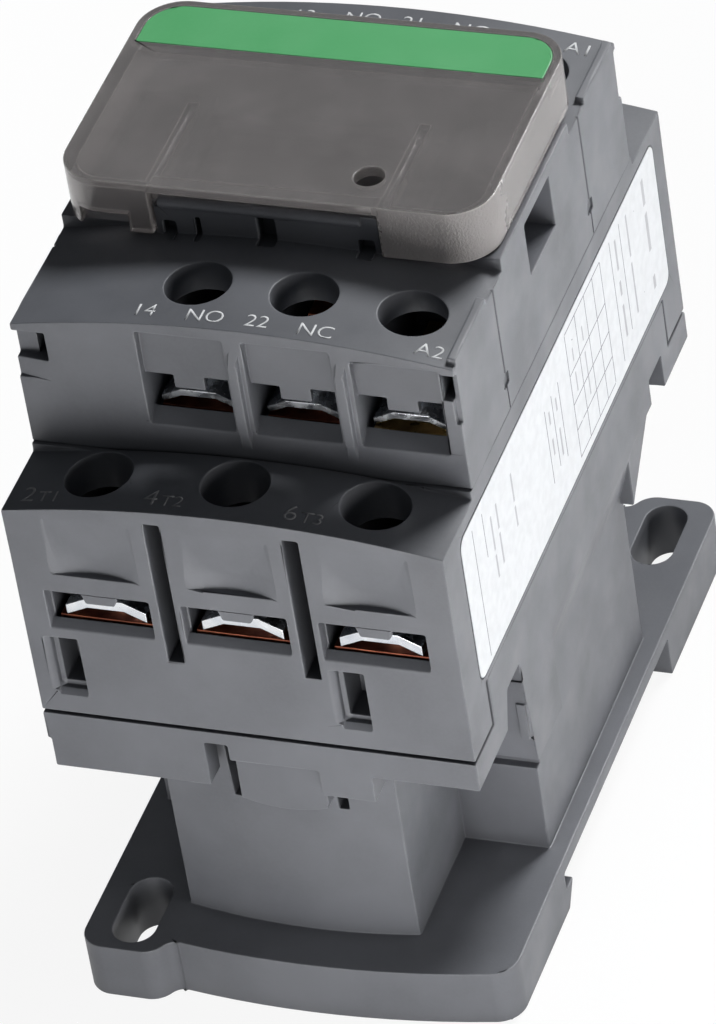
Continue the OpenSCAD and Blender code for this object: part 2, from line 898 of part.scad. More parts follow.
module core_pads() {
    color("black")
        both_sides() span_x(5.4, [8, 16], [core_z0 - pad_t, core_z0]);
}

module coil_bobbin() {
    flange_t = 1;
    tube_x = core_w / 2 + 1.1;
    tube_y = mid_leg + 1.1;
    color("whitesmoke")
        difference() {
            union() {
                span_x(tube_x, [-tube_y, tube_y], [bobbin_z0, bobbin_z1]);
                span_x(coil_x, [-coil_y, coil_y], [bobbin_z0, bobbin_z0 + flange_t]);
                span_x(coil_x, [-coil_y, coil_y], [bobbin_z1 - flange_t, bobbin_z1]);
            }
            span_x(core_w / 2 + 0.3, [-mid_leg - 0.3, mid_leg + 0.3], [bobbin_z0 - 1, bobbin_z1 + 1]);
        }
}

module coil_winding() {
    tube_x = core_w / 2 + 1.1;
    tube_y = mid_leg + 1.1;
    color("chocolate")
        difference() {
            span_x(coil_x - 0.7, [-coil_y + 0.5, coil_y - 0.5], [bobbin_z0 + 1, bobbin_z1 - 1]);
            span_x(tube_x, [-tube_y, tube_y], [bobbin_z0, bobbin_z1]);
        }
}

// strips from the coil up to the A1 and A2 terminals
module coil_terminals() {
    t = 0.8;
    color("goldenrod")
        both_sides()
            difference() {
                union() {
                    span([12.6, 12.6 + t], [-11.9, -8.9], [bobbin_z1, 34.6 + t]);
                    span([12.6, strip_x + t], [-11.9, -8.9], [34.6, 34.6 + t]);
                    span([strip_x, strip_x + t], [-11.9, -8.9], [34.6, ctl_bar_z1]);
                    span([coil_term_x - 3, strip_x + t], [-11.9, -8.9], [ctl_bar_z0, ctl_bar_z1]);
                    span([coil_term_x - 3, coil_term_x + 3.8], [-13.8, -11.7], [ctl_bar_z0, ctl_bar_z1]);
                    span([coil_term_x - 3, coil_term_x + 3.8], [-14.5, -13.7], [ctl_plate_z0, ctl_bar_z1]);
                    span(
                        [coil_term_x - 3.8, coil_term_x + 3.8],
                        [-24.2, -14.4], [ctl_plate_z0, ctl_plate_z1]
                    );
                }
                translate([coil_term_x, -ctl_screw_y, ctl_plate_z0 - 1]) cylinder(r = 1.6, h = 3);
            }
}

function spring_point(r, z0, z1, turns, steps, i) =
    [r * cos(360 * turns * i / steps), r * sin(360 * turns * i / steps), z0 + (z1 - z0) * i / steps];

// coil spring: wire rings swept along a helix
module coil_spring(r, wire, z0, z1, turns) {
    sides = 8;
    steps = round(turns * 18);
    low = z0 + wire;
    high = z1 - wire;
    rings = [for (i = [0:steps])
        let (p = spring_point(r, low, high, turns, steps, i), a = 360 * turns * i / steps)
            [for (k = [0:sides - 1])
                let (b = 360 * k / sides)
                    p + wire * [cos(b) * cos(a), cos(b) * sin(a), sin(b)]]];
    points = [for (ring = rings) for (p = ring) p];
    skin = [for (i = [0:steps - 1]) for (k = [0:sides - 1])
        let (n = (k + 1) % sides)
            [i * sides + k, i * sides + n, (i + 1) * sides + n, (i + 1) * sides + k]];
    last = steps * sides;
    caps = [[for (k = [sides - 1:-1:0]) k], [for (k = [0:sides - 1]) last + k]];
    polyhedron(points, concat(skin, caps), convexity = 8);
}

module return_spring() {
    color("silver") coil_spring(9.2, 0.42, bobbin_z1, arm_yoke, 3);
}

module armature() {
    color("slategray")
        difference() {
            e_core(arm_yoke, arm_top, arm_low);
            translate([-slab / 2, 0, arm_yoke + yoke_t / 2])
                rotate([0, 90, 0]) cylinder(r = 1.55, h = slab);
        }
}

module armature_pin() {
    color("silver")
        translate([-8.6, 0, arm_yoke + yoke_t / 2])
            rotate([0, 90, 0]) cylinder(r = 1.5, h = 17.2);
}

module contact_carrier() {
    pin_z = arm_yoke + yoke_t / 2;
    color("ivory")
        difference() {
            union() {
                span_x(9.6, [-11, 11], [foot_z0, foot_z1]);
                for (x = [[-8.9, -6.3], [6.3, 8.9]])
                    span(x, [-3.6, 3.6], [pin_z - 2.5, foot_z0 + eps]);
                span_x(9.6, [-carrier_y, carrier_y], [foot_z1 - eps, carrier_z0 + eps]);
                span_x(carrier_x, [-carrier_y, carrier_y], [carrier_z0, carrier_z1]);
                span_x(stem_x, [-carrier_y, carrier_y], [carrier_z1 - eps, stem_top]);
            }
            for (i = [1:3])
                span([pole_x(i) - 3.5, pole_x(i) + 3.5], [-slab, slab], [bridge_z0, window_top]);
            span([no_x - 2.6, no_x + 2.6], [-slab, slab], [no_bridge_z0, no_window_top]);
            span([nc_x - 2.6, nc_x + 2.6], [-slab, slab], [nc_floor, nc_bridge_z1 + over_travel]);
            translate([-slab / 2, 0, pin_z])
                rotate([0, 90, 0]) cylinder(r = 1.55, h = slab);
        }
}

// ---------- contacts ----------

// a moving bridge along Y with a contact tip under each end; tips up when tip_up is true
module bridge(x, z0, t, w, reach, tip_r, tip_h, tip_up) {
    tip_z = tip_up ? z0 + t : z0 - tip_h;
    color("darkgoldenrod")
        span([x - w / 2, x + w / 2], [-reach, reach], [z0, z0 + t]);
    color("lightgray")
        both_sides()
            translate([x, -reach + tip_r + 0.3, tip_z])
                cylinder(r = tip_r, h = tip_h);
}

module main_bridge(i) {
    bridge(pole_x(i), bridge_z0, bridge_t, bridge_w, tip_y1 + 0.6, 1.9, tip_t, false);
}

module no_bridge() {
    bridge(no_x, no_bridge_z0, ctl_bridge_t, ctl_bridge_w, 10.4, 1.3, ctl_tip_t, false);
}

module nc_bridge() {
    z0 = nc_bridge_z1 - ctl_bridge_t;
    bridge(nc_x, z0, ctl_bridge_t, ctl_bridge_w, 10.4, 1.3, ctl_tip_t, true);
}

module contact_spring(x, r, z0, z1, turns) {
    color("silver") translate([x, 0, 0]) coil_spring(r, 0.25, z0, z1, turns);
}

module main_spring(i) {
    contact_spring(pole_x(i), 2.4, bridge_z0 + bridge_t, window_top, 3);
}

module no_spring() {
    contact_spring(no_x, 1.7, no_bridge_z0 + ctl_bridge_t, no_window_top, 2);
}

module nc_spring() {
    contact_spring(nc_x, 1.7, nc_floor, nc_bridge_z1 - ctl_bridge_t, 3);
}

// a power contact bar on the load side: terminal plate, bar and fixed tip
module power_bar(i) {
    x = pole_x(i);
    color("peru")
        difference() {
            union() {
                span([x - 4.9, x + 4.9], [-34.2, riser_y0 + eps], [plate_z0, plate_z1]);
                span([x - 3.2, x + 3.2], [riser_y0, riser_y1], [plate_z0, bar_z1]);
                span([x - 3.2, x + 3.2], [riser_y1 - eps, -tip_y0], [bar_z0, bar_z1]);
            }
            translate([x, -screw_y, plate_z0 - 1]) cylinder(r = 1.85, h = 4);
        }
    color("lightgray")
        translate([x, -(tip_y0 + tip_y1) / 2 - 0.3, bar_z1])
            cylinder(r = 1.9, h = tip_t);
}

// an auxiliary contact bar; the NC bar steps up so that its tip faces down
module aux_bar(x, step_up) {
    end_z0 = step_up ? nc_bar_z0 : ctl_bar_z0;
    end_z1 = end_z0 + ctl_bar_z1 - ctl_bar_z0;
    tip_z = step_up ? end_z0 - ctl_tip_t : end_z1;
    difference() {
        union() {
            span([x - 3.8, x + 3.8], [-24, -14.4], [ctl_plate_z0, ctl_plate_z1]);
            span([x - 2.2, x + 2.2], [-14.5, -13.7], [ctl_plate_z0, end_z1]);
            span([x - 2.2, x + 2.2], [-13.8, -7], [end_z0, end_z1]);
        }
        translate([x, -ctl_screw_y, ctl_plate_z0 - 1]) cylinder(r = 1.6, h = 3);
    }
    translate([x, -8.8, tip_z]) cylinder(r = 1.3, h = ctl_tip_t);
}

module aux_contacts() {
    color("peru")
        both_sides() {
            aux_bar(no_x, false);
            aux_bar(nc_x, true);
        }
}

// ---------- terminals ----------

// a cross-slotted terminal screw standing on z
module terminal_screw(x, y, z, shaft_r, shaft_l, head_r, head_h) {
    slot = 0.9;
    slot_deep = 1.1;
    color("silver")
        translate([x, y, z])
            difference() {
                union() {
                    cylinder(r = head_r, h = head_h);
                    translate([0, 0, -shaft_l]) cylinder(r = shaft_r, h = shaft_l + eps);
                }
                for (a = [0, 90])
                    rotate([0, 0, a])
                        translate([-head_r * 0.8, -slot / 2, head_h - slot_deep])
                            cube([head_r * 1.6, slot, 2 * slot_deep]);
            }
}

// a saddle clamp: an arched plate whose two ends press the wire on the bar
module saddle_clamp(x, y, z, half_x, half_y, rise, t, hole_r) {
    flat_x = half_x * 0.45;
    color("silver")
        translate([x, y, z])
            difference() {
                translate([0, half_y, 0])
                    rotate([90, 0, 0])
                        linear_extrude(2 * half_y)
                            polygon([
                                [-half_x, 0], [-flat_x, rise], [flat_x, rise], [half_x, 0],
                                [half_x, t], [flat_x, rise + t], [-flat_x, rise + t], [-half_x, t]
                            ]);
                translate([0, 0, -1]) cylinder(r = hole_r, h = t + 3);
            }
}

module load_screw(i) {
    terminal_screw(pole_x(i), -screw_y, plate_z1 + clamp_rise + clamp_t, 1.75, 6.2, 3, 2.4);
}

module load_clamp(i) {
    saddle_clamp(pole_x(i), -screw_y, plate_z1, 4.2, 4.2, clamp_rise, clamp_t, 1.85);
}

module ctl_screw(i) {
    terminal_screw(ctl_x(i), -ctl_screw_y, ctl_plate_z1 + ctl_clamp_rise + ctl_clamp_t, 1.5, 4.9, 2.5, 2);
}

module ctl_clamp(i) {
    saddle_clamp(ctl_x(i), -ctl_screw_y, ctl_plate_z1, 3.9, 4.4, ctl_clamp_rise, ctl_clamp_t, 1.6);
}

base_housing();
rail_clip();
main_housing();
upper_housing();
side_label();
front_cover();
marker_strip();
fixed_core();
shading_rings();
core_pads();
coil_bobbin();
coil_winding();
coil_terminals();
return_spring();
armature();
armature_pin();
contact_carrier();
main_bridge(1);  // main_bridge_1
main_bridge(2);  // main_bridge_2
main_bridge(3);  // main_bridge_3
no_bridge();
nc_bridge();
main_spring(1);  // main_spring_1
main_spring(2);  // main_spring_2
main_spring(3);  // main_spring_3
no_spring();
nc_spring();
power_bar(1);  // load_contact_1
power_bar(2);  // load_contact_2
power_bar(3);  // load_contact_3
on_side("line") power_bar(1);  // line_contact_1
on_side("line") power_bar(2);  // line_contact_2
on_side("line") power_bar(3);  // line_contact_3
aux_contacts();
load_screw(1);  // load_screw_1
load_screw(2);  // load_screw_2
load_screw(3);  // load_screw_3
on_side("line") load_screw(1);  // line_screw_1
on_side("line") load_screw(2);  // line_screw_2
on_side("line") load_screw(3);  // line_screw_3
ctl_screw(1);  // screw_14
ctl_screw(2);  // screw_22
ctl_screw(3);  // screw_a2
on_side("line") ctl_screw(1);  // screw_13
on_side("line") ctl_screw(2);  // screw_21
on_side("line") ctl_screw(3);  // screw_a1
load_clamp(1);  // load_clamp_1
load_clamp(2);  // load_clamp_2
load_clamp(3);  // load_clamp_3
on_side("line") load_clamp(1);  // line_clamp_1
on_side("line") load_clamp(2);  // line_clamp_2
on_side("line") load_clamp(3);  // line_clamp_3
ctl_clamp(1);  // clamp_14
ctl_clamp(2);  // clamp_22
ctl_clamp(3);  // clamp_a2
on_side("line") ctl_clamp(1);  // clamp_13
on_side("line") ctl_clamp(2);  // clamp_21
on_side("line") ctl_clamp(3);  // clamp_a1
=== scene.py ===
import json
import math

import bpy
from mathutils import Matrix, Vector


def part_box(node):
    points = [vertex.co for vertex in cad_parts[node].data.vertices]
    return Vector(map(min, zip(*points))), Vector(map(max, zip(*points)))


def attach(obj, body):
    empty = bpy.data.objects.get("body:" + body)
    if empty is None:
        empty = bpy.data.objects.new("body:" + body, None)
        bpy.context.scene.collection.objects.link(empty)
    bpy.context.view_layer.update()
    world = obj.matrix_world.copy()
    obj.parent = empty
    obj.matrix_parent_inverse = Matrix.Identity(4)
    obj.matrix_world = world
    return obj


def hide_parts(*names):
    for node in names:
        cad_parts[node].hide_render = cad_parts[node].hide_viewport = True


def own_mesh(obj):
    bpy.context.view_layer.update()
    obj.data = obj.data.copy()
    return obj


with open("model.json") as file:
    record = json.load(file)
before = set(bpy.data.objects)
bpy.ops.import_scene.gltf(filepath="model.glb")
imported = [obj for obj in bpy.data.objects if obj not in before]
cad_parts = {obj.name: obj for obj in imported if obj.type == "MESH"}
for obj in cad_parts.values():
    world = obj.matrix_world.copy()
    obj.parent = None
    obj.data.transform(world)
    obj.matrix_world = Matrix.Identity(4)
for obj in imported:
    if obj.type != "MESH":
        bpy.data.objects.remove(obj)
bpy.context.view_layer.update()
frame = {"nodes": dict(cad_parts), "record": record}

MM = 0.001


scene = bpy.context.scene


# ---------------------------------------------------------------- table, light and camera
# A pale table top on which the contactor stands on its mounting plate.
# Shaded lamps light the table round it, so most light comes up off the table; the room is dim.
def add_node(tree, kind, **values):
    node = tree.nodes.new(kind)
    for name, value in values.items():
        setattr(node, name, value)
    return node


def white_for_eye(tree, shader, white, share, rays):
    """Shows white to the eye and in mirrors by the given share, and the shader to all else."""
    path = add_node(tree, "ShaderNodeLightPath")
    seen = path.outputs[rays[0]]
    for ray in rays[1:]:
        either = add_node(tree, "ShaderNodeMath", operation="MAXIMUM")
        tree.links.new(seen, either.inputs[0])
        tree.links.new(path.outputs[ray], either.inputs[1])
        seen = either.outputs[0]
    part = add_node(tree, "ShaderNodeMath", operation="MULTIPLY")
    part.inputs[1].default_value = share
    tree.links.new(seen, part.inputs[0])
    mix = add_node(tree, "ShaderNodeMixShader")
    tree.links.new(part.outputs[0], mix.inputs[0])
    tree.links.new(shader, mix.inputs[1])
    tree.links.new(white, mix.inputs[2])
    return mix.outputs[0]


bpy.ops.object.select_all(action="DESELECT")
bpy.ops.mesh.primitive_plane_add(size=6, location=(0, 0, -0.0001))
table = bpy.context.object
table.name = "table_top"
paint = bpy.data.materials.new("pale_table")
paint.use_nodes = True
surface = paint.node_tree.nodes["Principled BSDF"]
surface.inputs["Base Color"].default_value = (0.93, 0.93, 0.93, 1)
surface.inputs["Roughness"].default_value = 0.9
glow = add_node(paint.node_tree, "ShaderNodeEmission")
table_out = paint.node_tree.nodes["Material Output"]
shown = white_for_eye(paint.node_tree, surface.outputs[0], glow.outputs[0], 0.9,
                      ("Is Camera Ray", "Is Glossy Ray", "Is Transmission Ray"))
paint.node_tree.links.new(shown, table_out.inputs["Surface"])
table.data.materials.append(paint)

world = scene.world or bpy.data.worlds.new("room")
scene.world = world
world.use_nodes = True
room = world.node_tree
room.nodes.clear()
dim = add_node(room, "ShaderNodeBackground")
dim.inputs["Color"].default_value = (0.9, 0.95, 1.0, 1)
dim.inputs["Strength"].default_value = 0.08
bright = add_node(room, "ShaderNodeBackground")
bright.inputs["Strength"].default_value = 1.0
room_out = add_node(room, "ShaderNodeOutputWorld")
shown = white_for_eye(room, dim.outputs[0], bright.outputs[0], 1.0,
                      ("Is Camera Ray", "Is Transmission Ray"))
room.links.new(shown, room_out.inputs[0])


def soft_lamp(name, place, aim, size, power, tint, spread=180):
    """A round area lamp, aimed at a point; spread is its cone in degrees."""
    data = bpy.data.lights.new(name, "AREA")
    data.spread = math.radians(spread)
    data.shape = "DISK"
    data.size = size
    data.energy = power
    data.color = tint
    lamp = bpy.data.objects.new(name, data)
    scene.collection.objects.link(lamp)
    lamp.location = place
    lamp.rotation_euler = (Vector(aim) - Vector(place)).to_track_quat("-Z", "Y").to_euler()


soft_white = (1.0, 0.99, 0.98)
middle = (0, 0, 0.04)
soft_lamp("front_panel", (0.03, -0.13, 0.004), (0.01, -0.035, 0.048), 0.11, 0.18, soft_white)
soft_lamp("table_lamp_right", (0.26, -0.02, 0.36), (0.26, -0.02, 0), 0.20, 1.6, soft_white, 52)
soft_lamp("table_lamp_left", (-0.30, 0.02, 0.40), (-0.30, 0.02, 0), 0.22, 0.4, soft_white, 58)
soft_lamp("side_lamp", (0.95, -0.16, 0.13), middle, 0.34, 2.8, (1.0, 0.98, 0.96))
soft_lamp("back_lamp", (0.22, 0.62, 0.78), middle, 0.34, 8.5, (0.98, 0.99, 1.0))

# the camera looks down at the load side from the right, a little tilted
turn, rise, roll = (math.radians(a) for a in (24.666, 39.182, -9.706))
looked_at = Vector((-1.021, -2.752, 36.678)) * MM
distance = 0.7510
back = Vector((math.sin(turn) * math.cos(rise), -math.cos(turn) * math.cos(rise), math.sin(rise)))
across = Vector((math.cos(turn), math.sin(turn), 0))
upward = back.cross(across)
cam_x = math.cos(roll) * across + math.sin(roll) * upward
cam_y = -math.sin(roll) * across + math.cos(roll) * upward
eye = Matrix((cam_x, cam_y, back)).transposed().to_4x4()
eye.translation = looked_at + back * distance
cam_data = bpy.data.cameras.new("view")
cam_data.sensor_width = 36
cam_data.lens = 263.54
cam_data.shift_x = 0.0070
cam_data.shift_y = -0.0014
cam_data.clip_start = 0.01
camera = bpy.data.objects.new("view", cam_data)
scene.collection.objects.link(camera)
camera.matrix_world = eye
scene.camera = camera
scene.view_settings.view_transform = "Standard"


# ---------------------------------------------------------------- housings
# Three mouldings of dark grey glass-filled thermoplastic, stacked and snapped together.
# Each has small moulded radii on its edges and a fine matt texture from the tool.
def only(piece):
    bpy.ops.object.select_all(action="DESELECT")
    piece.select_set(True)
    bpy.context.view_layer.objects.active = piece


def mottled(tree, scale, detail, low, high):
    """Noise in the piece's own space, stretched to run from low to high."""
    place = add_node(tree, "ShaderNodeTexCoord")
    noise = add_node(tree, "ShaderNodeTexNoise")
    noise.inputs["Scale"].default_value = scale
    noise.inputs["Detail"].default_value = detail
    spread = add_node(tree, "ShaderNodeMapRange")
    spread.inputs["From Min"].default_value = 0.35
    spread.inputs["From Max"].default_value = 0.65
    spread.inputs["To Min"].default_value = low
    spread.inputs["To Max"].default_value = high
    tree.links.new(place.outputs["Object"], noise.inputs["Vector"])
    tree.links.new(noise.outputs["Fac"], spread.inputs["Value"])
    return noise, spread.outputs["Result"]


def openness(tree, reach, low, high):
    """0 deep in corners and slots, 1 in the open."""
    shade = add_node(tree, "ShaderNodeAmbientOcclusion", samples=6)
    shade.inputs["Distance"].default_value = reach
    spread = add_node(tree, "ShaderNodeMapRange")
    spread.inputs["From Min"].default_value = low
    spread.inputs["From Max"].default_value = high
    tree.links.new(shade.outputs["AO"], spread.inputs["Value"])
    return spread.outputs["Result"]


def edge_mask(tree, radius, low, high):
    """0 on flats and in corners, 1 on sharp edges that stick out."""
    rounded = add_node(tree, "ShaderNodeBevel", samples=4)
    rounded.inputs["Radius"].default_value = radius
    flat = add_node(tree, "ShaderNodeNewGeometry")
    agree = add_node(tree, "ShaderNodeVectorMath", operation="DOT_PRODUCT")
    tree.links.new(rounded.outputs["Normal"], agree.inputs[0])
    tree.links.new(flat.outputs["Normal"], agree.inputs[1])
    mask = add_node(tree, "ShaderNodeMapRange")
    mask.inputs["From Min"].default_value = high
    mask.inputs["From Max"].default_value = low
    tree.links.new(agree.outputs["Value"], mask.inputs["Value"])
    proud = add_node(tree, "ShaderNodeMath", operation="MULTIPLY")
    tree.links.new(mask.outputs["Result"], proud.inputs[0])
    tree.links.new(openness(tree, 3 * radius, 0.80, 0.97), proud.inputs[1])
    return proud.outputs[0]


def blend_colors(tree, share, first, second):
    mix = add_node(tree, "ShaderNodeMix", data_type="RGBA")
    tree.links.new(share, mix.inputs[0])
    for socket, color in ((mix.inputs[6], first), (mix.inputs[7], second)):
        if isinstance(color, tuple):
            socket.default_value = (*color, 1)
        else:
            tree.links.new(color, socket)
    return mix.outputs[2]


def moulded_plastic(name, dark, light, worn, rough=(0.40, 0.54), grain=0.06):
    """Matt moulded thermoplastic: cloudy colour, rubbed edges, painted shade darkening corners and slots,
    fine sparked texture.
    """
    material = bpy.data.materials.new(name)
    material.use_nodes = True
    tree = material.node_tree
    shader = tree.nodes["Principled BSDF"]
    _, cloud = mottled(tree, 90, 4, 0.0, 1.0)
    _, speck = mottled(tree, 2600, 2, 0.0, 1.0)
    body = blend_colors(tree, cloud, dark, light)
    fleck = add_node(tree, "ShaderNodeMath", operation="MULTIPLY")
    fleck.inputs[1].default_value = 0.22
    tree.links.new(speck, fleck.inputs[0])
    body = blend_colors(tree, fleck.outputs[0], body, light)
    rub = add_node(tree, "ShaderNodeMath", operation="MULTIPLY")
    _, patch = mottled(tree, 260, 3, 0.05, 0.55)
    tree.links.new(edge_mask(tree, 0.0003, 0.90, 0.99), rub.inputs[0])
    tree.links.new(patch, rub.inputs[1])
    body = blend_colors(tree, rub.outputs[0], body, worn)
    # painted shade: the colour darkens to 0.45 of the dark tone in corners and slots, where shade falls
    painted_shade = tuple(0.45 * c for c in dark)
    body = blend_colors(tree, openness(tree, 0.0035, 0.05, 0.75), painted_shade, body)
    tree.links.new(body, shader.inputs["Base Color"])
    _, gloss = mottled(tree, 160, 3, rough[0], rough[1])
    tree.links.new(gloss, shader.inputs["Roughness"])
    grit, _ = mottled(tree, 5200, 2, 0, 1)
    bump = add_node(tree, "ShaderNodeBump")
    bump.inputs["Strength"].default_value = grain
    bump.inputs["Distance"].default_value = 0.0001
    tree.links.new(grit.outputs["Fac"], bump.inputs["Height"])
    tree.links.new(bump.outputs["Normal"], shader.inputs["Normal"])
    return material


def settle_normals(piece, limit):
    """Corner normals that follow the largest flat region round each corner, so that flats stay flat."""
    coplanar = 0.999998
    faces = piece.data.polygons
    region = list(range(len(faces)))

    def root(i):
        while region[i] != i:
            region[i] = region[region[i]]
            i = region[i]
        return i

    shared, around = {}, {}
    for face in faces:
        for key in face.edge_keys:
            shared.setdefault(key, []).append(face.index)
        for v in face.vertices:
            around.setdefault(v, []).append(face.index)
    for pair in shared.values():
        if len(pair) == 2 and faces[pair[0]].normal.dot(faces[pair[1]].normal) > coplanar:
            region[root(pair[0])] = root(pair[1])
    area = {}
    for face in faces:
        area[root(face.index)] = area.get(root(face.index), 0) + face.area
    near = math.cos(math.radians(limit))
    normals = []
    for face in faces:
        for v in face.vertices:
            alike = [faces[i] for i in around[v] if faces[i].normal.dot(face.normal) > near]
            pull = {root(other.index): other.normal * area[root(other.index)] for other in alike}
            normals.append(sum(pull.values(), Vector()).normalized() if pull else face.normal)
    piece.data.normals_split_custom_set(normals)


def finished_copy(node, name, edge, holes=()):
    """A merged copy of a CAD solid with small radii on its edges, kept inside the solid's box.

    Large flats are cut into short pieces, and close round each of the holes (x, y, reach), so that
    no triangle is long and thin where an edge is rounded."""
    first_cut, spacing, margin = 4.13 * MM, 5.17 * MM, 2 * MM
    sharp = 32
    piece = bpy.data.objects.new(name, frame["nodes"][node].data.copy())
    scene.collection.objects.link(piece)
    only(piece)
    bpy.ops.object.mode_set(mode="EDIT")
    bpy.ops.mesh.select_all(action="SELECT")
    bpy.ops.mesh.remove_doubles(threshold=0.000002)
    bpy.ops.mesh.dissolve_limited(angle_limit=math.radians(0.02))
    low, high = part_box(node)
    for axis in range(3):
        cut = low[axis] + first_cut
        while cut < high[axis] - margin:
            normal = [float(axis == i) for i in range(3)]
            bpy.ops.mesh.select_all(action="SELECT")
            bpy.ops.mesh.bisect(plane_co=[cut * n for n in normal], plane_no=normal)
            cut += spacing
    for x, y, reach in holes:
        for heading in range(0, 360, 45):
            dx, dy = math.cos(math.radians(heading)), math.sin(math.radians(heading))
            bpy.ops.mesh.select_all(action="SELECT")
            bpy.ops.mesh.bisect(plane_co=(x + reach * dx, y + reach * dy, 0), plane_no=(dx, dy, 0))
    bpy.ops.mesh.select_all(action="SELECT")
    bpy.ops.mesh.quads_convert_to_tris(quad_method="BEAUTY", ngon_method="BEAUTY")
    bpy.ops.object.mode_set(mode="OBJECT")
    if edge > 0:
        bevel = piece.modifiers.new("edges", "BEVEL")
        bevel.width = edge
        bevel.segments = 2
        bevel.limit_method = "ANGLE"
        bevel.angle_limit = math.radians(sharp)
        bevel.use_clamp_overlap = False
        bevel.miter_outer = "MITER_ARC"
        bpy.ops.object.modifier_apply(modifier=bevel.name)
    for vertex in piece.data.vertices:
        vertex.co = [min(max(v, a), b) for v, a, b in zip(vertex.co, low, high)]
    bpy.ops.object.shade_smooth()
    settle_normals(piece, sharp + 2)
    piece.data.materials.clear()
    return piece


def stand_for(piece, node, body, material):
    """Gives the piece its material and puts it in the place of a CAD solid."""
    piece.data.materials.append(material)
    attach(piece, body)
    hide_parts(node)


dark_grey = moulded_plastic(
    "dark_grey_plastic", (0.118, 0.123, 0.137), (0.150, 0.156, 0.173), (0.28, 0.285, 0.30))
# the round ends of the two mounting slots
ear_slots = [(side * 17.5 * MM, (side * 32.5 + end * 2.5) * MM, 2.6 * MM)
             for side in (-1, 1) for end in (-1, 1)]
for node, name, holes in (
        ("base_housing", "moulded_base", ear_slots), ("main_housing", "power_block", ()),
        ("upper_housing", "control_block", ())):
    stand_for(finished_copy(node, name, 0.18 * MM, holes=holes), node, "housing", dark_grey)


# ---------------------------------------------------------------- terminal marks
# Pale terminal numbers printed on the crowned tops beside the driver holes, as every
# contactor of this class carries. The print is a thin film that follows the crown.
def printed_mark(name, words, x_mid, y_mid, tall, top_of, material):
    """Words centred at a point of the top whose height at x is top_of(x); measures in mm."""
    thin, film, clear_of_top = -0.012 * MM, 0.01 * MM, 0.004 * MM
    curve = bpy.data.curves.new(name, "FONT")
    curve.body = words
    curve.size = tall * MM
    curve.align_x = "CENTER"
    curve.align_y = "CENTER"
    curve.offset = thin
    curve.resolution_u = 4
    text = bpy.data.objects.new(name, curve)
    scene.collection.objects.link(text)
    only(text)
    bpy.ops.object.convert(target="MESH")
    text = bpy.context.object
    bpy.ops.object.mode_set(mode="EDIT")
    bpy.ops.mesh.select_all(action="SELECT")
    bpy.ops.mesh.extrude_region_move(TRANSFORM_OT_translate={"value": (0, 0, film)})
    bpy.ops.object.mode_set(mode="OBJECT")
    for vertex in text.data.vertices:
        x, y, z = vertex.co
        x, y = x + x_mid * MM, y + y_mid * MM
        vertex.co = (x, y, top_of(x) + z + clear_of_top)
    text.data.materials.append(material)
    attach(text, "housing")


def ink(name, color):
    """Printed ink or film: a little uneven in colour and gloss."""
    material = bpy.data.materials.new(name)
    material.use_nodes = True
    tree = material.node_tree
    shader = tree.nodes["Principled BSDF"]
    _, fade = mottled(tree, 900, 3, 0.0, 1.0)
    faded = tuple(0.93 * c for c in color)
    tree.links.new(blend_colors(tree, fade, faded, color), shader.inputs["Base Color"])
    _, gloss = mottled(tree, 700, 2, 0.45, 0.6)
    tree.links.new(gloss, shader.inputs["Roughness"])
    return material


def crown(edge_z, rise, half_width):
    """Height of a crowned top whose edges lie at edge_z and whose middle is rise higher."""
    radius = (half_width ** 2 + rise ** 2) / (2 * rise)
    return lambda x: edge_z + rise - radius + math.sqrt(radius ** 2 - x ** 2)


half_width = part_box("main_housing")[1][0]
control_top = crown(76.4 * MM, 2.0 * MM, half_width)
power_top = crown(60.9 * MM, 2.0 * MM, half_width)
white_ink = ink("white_print", (0.80, 0.81, 0.82))
grey_ink = ink("grey_print", (0.30, 0.30, 0.31))
for words, x, y in (("14", -9.1, -23.9), ("NO", -2.8, -24.2), ("22", 2.5, -24.2),
                    ("NC", 8.4, -24.4), ("A2", 19.6, -24.1)):
    printed_mark("mark_load_" + words, words, x, y, 2.5, control_top, white_ink)
for words, x, y in (("13", -9.1, 23.6), ("NO", -2.8, 23.6), ("21", 2.5, 23.6),
                    ("NC", 8.4, 23.6), ("A1", 19.6, 23.7)):
    printed_mark("mark_line_" + words, words, x, y, 2.5, control_top, white_ink)
# a tall digit with the pole's name small beside it
for number, pole, x in (("2", "T1", -20.3), ("4", "T2", -7.5), ("6", "T3", 6.7)):
    printed_mark("mark_load_" + number, number, x, -33.2, 3.1, power_top, grey_ink)
    printed_mark("mark_load_" + pole, pole, x + 2.2, -33.5, 2.2, power_top, grey_ink)
for number, pole, x in (("1", "L1", -20.3), ("3", "L2", -7.5), ("5", "L3", 6.7)):
    printed_mark("mark_line_" + number, number, x, 33.2, 3.1, power_top, grey_ink)
    printed_mark("mark_line_" + pole, pole, x + 2.2, 32.9, 2.2, power_top, grey_ink)


# ---------------------------------------------------------------- rating label
# A white printed film stuck in a shallow recess of the power block's right side.
# It is left blank but for ruled lines and an empty table.
def bisect_all(piece, place, normal):
    only(piece)
    bpy.ops.object.mode_set(mode="EDIT")
    bpy.ops.mesh.select_all(action="SELECT")
    bpy.ops.mesh.bisect(plane_co=place, plane_no=normal)
    bpy.ops.object.mode_set(mode="OBJECT")


label = finished_copy("side_label", "rating_label", 0)
